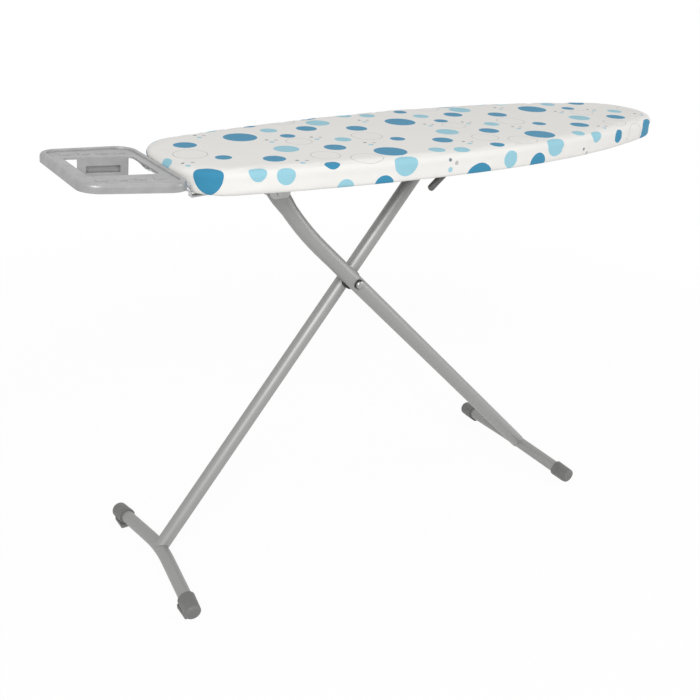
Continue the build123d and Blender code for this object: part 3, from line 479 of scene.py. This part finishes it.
def outline():
    """Points and outward normals round the board from its nose, the two sides alike."""
    widest = END_X + WIDEST_FROM_END
    nose_run = NOSE_X - NOSE_RADIUS - widest
    spare = HALF_WIDTH - NOSE_RADIUS
    side_radius = (nose_run**2 + HALF_WIDTH**2 - NOSE_RADIUS**2) / (2 * spare)
    drop = HALF_WIDTH - side_radius
    nose_angle = math.atan2(-drop, nose_run)
    corner_x = END_X + END_CORNER_RADIUS
    rise = math.sqrt((REAR_SIDE_RADIUS - END_CORNER_RADIUS) ** 2 - (corner_x - widest) ** 2)
    corner_y = HALF_WIDTH - REAR_SIDE_RADIUS + rise
    corner_angle = math.atan2(rise, corner_x - widest)
    half = []

    def arc(cx, cy, radius, start, stop):
        count = max(4, round(abs(stop - start) * radius / OUTLINE_STEP))
        for i in range(count):
            angle = start + (stop - start) * i / count
            normal = Vector((math.cos(angle), math.sin(angle), 0))
            half.append((Vector((cx, cy, 0)) + radius * normal, normal))

    arc(NOSE_X - NOSE_RADIUS, 0, NOSE_RADIUS, 0, nose_angle)
    arc(widest, drop, side_radius, nose_angle, math.pi / 2)
    arc(widest, corner_y - rise, REAR_SIDE_RADIUS, math.pi / 2, corner_angle)
    arc(corner_x, corner_y, END_CORNER_RADIUS, corner_angle, math.pi)
    count = round(corner_y / OUTLINE_STEP)
    for i in range(count + 1):
        half.append((Vector((END_X, corner_y * (1 - i / count), 0)), Vector((-1, 0, 0))))
    across = Vector((1, -1, 1))
    other = [(point * across, normal * across) for point, normal in reversed(half[1:-1])]
    return half + other, NOSE_X - NOSE_RADIUS, corner_x


BORDER, SPINE_NOSE, SPINE_END = outline()


def spine_point(point):
    """The place on the board's middle line that a border point is drawn towards."""
    return Vector((min(max(point.x, SPINE_END), SPINE_NOSE), 0, 0))


def corner_share(i):
    """How much a border point has of the draw at the end's corners: 0 on the straights, at most 1."""
    point, normal = BORDER[i]
    return CORNER_PEAK * normal.x**4 * normal.y**2 if point.x < SPINE_END else 0.0


def corner_draw(z):
    """How far the cloth is drawn in at a corner at this height."""
    height = z - HEM_Z
    for (low, near), (high, far) in zip(CORNER_DRAWS, CORNER_DRAWS[1:]):
        if height < high:
            return near + (far - near) * max(0.0, height - low) / (high - low)
    return 0.0


def profile_arc(inset, z, radius, start, stop, count):
    """An arc of an edge's section, as (inset, z), between angles in degrees."""
    angles = [math.radians(start + (stop - start) * i / count) for i in range(count + 1)]
    return [(inset - radius * math.cos(a), z + radius * math.sin(a)) for a in angles]


class BoardMesh:
    """Rings of one section round the board, with a UV map of the flat cloth in metres."""

    def __init__(self, name):
        self.name = name
        self.bm = bmesh.new()
        self.uv = self.bm.loops.layers.uv.new("cloth")
        self.flat = {}

    def ring(self, inset, z, reach=0.0, share=1.0, wave=None):
        """One ring: share under 1 draws it in to the spine, reach is its way along the cloth."""
        made = []
        for i, (point, normal) in enumerate(BORDER):
            place = point - normal * inset
            spine = spine_point(point)
            place = spine + (place - spine) * share
            lift = wave(i) if wave else 0.0
            place = place + normal * lift
            vert = self.bm.verts.new((place.x, place.y, z))
            flat = place + normal * (reach - lift)
            self.flat[vert] = (flat.x, flat.y)
            made.append(vert)
        return made

    def bridge(self, low, high):
        count = len(low)
        for i in range(count):
            j = (i + 1) % count
            self.bm.faces.new((low[i], low[j], high[j], high[i]))

    def finish(self):
        for face in self.bm.faces:
            face.smooth = True
            for loop in face.loops:
                loop[self.uv].uv = self.flat[loop.vert]
        bmesh.ops.remove_doubles(self.bm, verts=self.bm.verts, dist=1e-6)
        bmesh.ops.recalc_face_normals(self.bm, faces=self.bm.faces)
        mesh = bpy.data.meshes.new(self.name)
        self.bm.to_mesh(mesh)
        self.bm.free()
        made = bpy.data.objects.new(self.name, mesh)
        scene.collection.objects.link(made)
        return made


def make_cover():
    """The cover: a hem drawn in at the end's corners, small gathers, rounded rim and flat top."""
    dice = random.Random(GATHER_SEED)
    total = len(BORDER)
    gathers = [
        (dice.random() * total, dice.uniform(*GATHER_WIDTHS), dice.uniform(*GATHER_STRENGTHS))
        for _ in range(GATHER_COUNT)
    ]

    def gather(depth, draw):
        def wave(i):
            value = 0.0
            for middle, width, strength in gathers:
                gap = abs((i - middle + total / 2) % total - total / 2)
                value -= strength * math.exp(-((gap / width) ** 2))
            slow = math.sin(i * 0.11) + 0.6 * math.sin(i * 0.047 + 1.3)
            ease = max(value, DEEPEST_GATHER) + SLOW_WAVE * (slow - 1)
            return depth * ease - draw * corner_share(i)
        return wave

    board = BoardMesh("cover_cloth")
    side_low, side_high = HEM_Z + HEM_RADIUS, DECK_Z - EDGE_RADIUS
    lip = [(HEM_WIDTH, HEM_Z + LIP_HEIGHT), (HEM_WIDTH - 0.001, HEM_Z + 0.001)]
    lip += [(inset, HEM_Z) for inset in (HEM_WIDTH - 0.004, 0.017, 0.011)]
    section = [(a, b, 0.0, HEM_DRAW) for a, b in lip]
    hem = profile_arc(HEM_RADIUS, side_low, HEM_RADIUS, -90, 0, 4)
    section += [(a, b, GATHER_DEPTH, corner_draw(b)) for a, b in hem]
    for k in (1, 2, 3):
        z = side_low + (side_high - side_low) * k / 4
        section.append((SIDE_SLOPE * k, z, GATHER_DEPTH * (1 - 0.2 * k), corner_draw(z)))
    rim = profile_arc(EDGE_RADIUS, side_high, EDGE_RADIUS, 0, 90, 7)
    section += [(a, b, RIM_GATHER_DEPTH, 0.0) for a, b in rim]
    reaches = [0.0]
    for (a, b, *_), (c, d, *_) in zip(reversed(section[1:]), reversed(section[:-1])):
        reaches.append(reaches[-1] + math.hypot(a - c, b - d))
    last = None
    for (inset, z, depth, draw), reach in zip(section, reversed(reaches)):
        made = board.ring(inset, z, reach, 1.0, gather(depth, draw) if depth or draw else None)
        if last:
            board.bridge(last, made)
        last = made
    for k in range(1, TOP_RINGS + 1):
        made = board.ring(EDGE_RADIUS, DECK_Z, 0.0, 1 - k / TOP_RINGS)
        board.bridge(last, made)
        last = made
    return board.finish()


def make_pad():
    """The felt pad between cover and plate, with sides turned down over the flange."""
    plate_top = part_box("top_plate")[1][2]
    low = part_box("pad")[0][2]
    top = DECK_Z - PAD_UNDER_DECK
    under = plate_top + PAD_OVER_PLATE
    shares = [1 - k / PAD_TOP_RINGS for k in range(1, PAD_TOP_RINGS + 1)]
    board = BoardMesh("felt_pad")
    bend = profile_arc(PAD_BEND_RADIUS, under - PAD_BEND_RADIUS, PAD_BEND_RADIUS, 0, 90, 4)
    section = [(PAD_INNER_INSET, low)] + [(PAD_INNER_INSET + a, b) for a, b in bend]
    inner = [board.ring(a, b) for a, b in section]
    inner += [board.ring(PAD_INNER_INSET + PAD_BEND_RADIUS, under, 0.0, share) for share in shares]

    def squeezed(inset, z):
        """Makes the felt thinner where the cloth is drawn in, and keeps it off the flange."""
        draw = min(corner_draw(z), max(0.0, PAD_INNER_INSET - PAD_LEAST_WALL - inset))
        return lambda i: -draw * corner_share(i)

    foot = profile_arc(PAD_FOOT_RADIUS, low + PAD_FOOT_RADIUS, PAD_FOOT_RADIUS, -90, 0, 4)
    rim = profile_arc(PAD_EDGE_RADIUS, top - PAD_EDGE_RADIUS, PAD_EDGE_RADIUS, 0, 90, 5)
    section = [(PAD_OUTER_INSET + a, b) for a, b in foot]
    section += [(PAD_OUTER_INSET, HEM_Z + height) for height, _ in CORNER_DRAWS[-2:]]
    section += [(PAD_OUTER_INSET + a, b) for a, b in rim]
    outer = [board.ring(a, b, wave=squeezed(a, b)) for a, b in section]
    outer += [board.ring(PAD_OUTER_INSET + PAD_EDGE_RADIUS, top, 0.0, share) for share in shares]
    for rings in (inner, outer):
        for low_ring, high_ring in zip(rings, rings[1:]):
            board.bridge(low_ring, high_ring)
    board.bridge(inner[0], outer[0])
    return board.finish()


def settle(piece):
    """Lets the cloth settle: held at its hem, eased by half a percent, pressed out from inside."""
    hem = piece.vertex_groups.new(name="hem")
    held = [v.index for v in piece.data.vertices if v.co.z < HEM_Z + HELD_HEIGHT]
    hem.add(held, 1.0, "REPLACE")
    modifier = piece.modifiers.new("settle", "CLOTH")
    cloth = modifier.settings
    cloth.quality = 5
    cloth.mass = 0.15
    cloth.tension_stiffness = cloth.compression_stiffness = 20
    cloth.shear_stiffness = 8
    cloth.bending_stiffness = 0.2
    cloth.vertex_group_mass = "hem"
    cloth.shrink_min = -0.005
    cloth.use_pressure = True
    cloth.uniform_pressure_force = 0.8
    cloth.effector_weights.gravity = 0
    modifier.point_cache.frame_start, modifier.point_cache.frame_end = 1, SETTLE_ROOM
    for step in range(1, SETTLE_STEPS + 1):
        scene.frame_set(step)
    seen = piece.evaluated_get(bpy.context.evaluated_depsgraph_get())
    places = [v.co.copy() for v in seen.data.vertices]
    piece.modifiers.remove(modifier)
    scene.frame_set(1)
    outward = [v.normal.copy() for v in piece.data.vertices]
    for vert, place, normal in zip(piece.data.vertices, places, outward):
        move = place - vert.co
        move -= normal * min(0.0, move.dot(normal) + SETTLE_IN)
        vert.co += move * min(1.0, SETTLE_OUT / max(move.length, 1e-9))


cover = make_cover()
settle(cover)
cover.data.materials.append(dotted_cloth())
thick = cover.modifiers.new("cloth", "SOLIDIFY")
thick.thickness = CLOTH_THICKNESS
thick.offset = -1
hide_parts("cover")
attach(cover, "board")

pad = make_pad()
pad.data.materials.append(felt("felt", linear(150, 146, 140)))
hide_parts("pad")
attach(pad, "board")


# Finishes of the CAD nodes

finishes = {
    "silver_paint": painted_metal("silver_paint", linear(153, 153, 151), 0.43, 0.3),
    "plate_paint": painted_metal("plate_paint", linear(166, 167, 168), 0.45, 0.25),
    "zinc": plated_steel("zinc", linear(176, 176, 174), 0.34),
    "chrome": plated_steel("chrome", linear(186, 187, 189), 0.14),
    "dark_plastic": moulded_plastic("dark_plastic", linear(111, 111, 110), 0.5, 0.2),
    "black_plastic": moulded_plastic("black_plastic", linear(38, 39, 41), 0.55, 0.25),
    "rest_plastic": moulded_plastic(
        "rest_plastic", linear(158, 158, 158), 0.4, 0.05, coat=0.1, metallic=0.25
    ),
    "white_plastic": moulded_plastic("white_plastic", linear(225, 224, 218), 0.5, 0.15),
}
finishes["lever_grip"] = moulded_plastic("grip_plastic", linear(88, 88, 87), 0.45, 0.2)
slots = {row["node"]: row["material_slot"] for row in frame["record"]["subparts"]}
for name, node in nodes.items():
    finish = finishes.get(name, finishes.get(slots[name]))
    if finish:
        node.data.materials.clear()
        node.data.materials.append(finish)

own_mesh(nodes["rack_spring"])
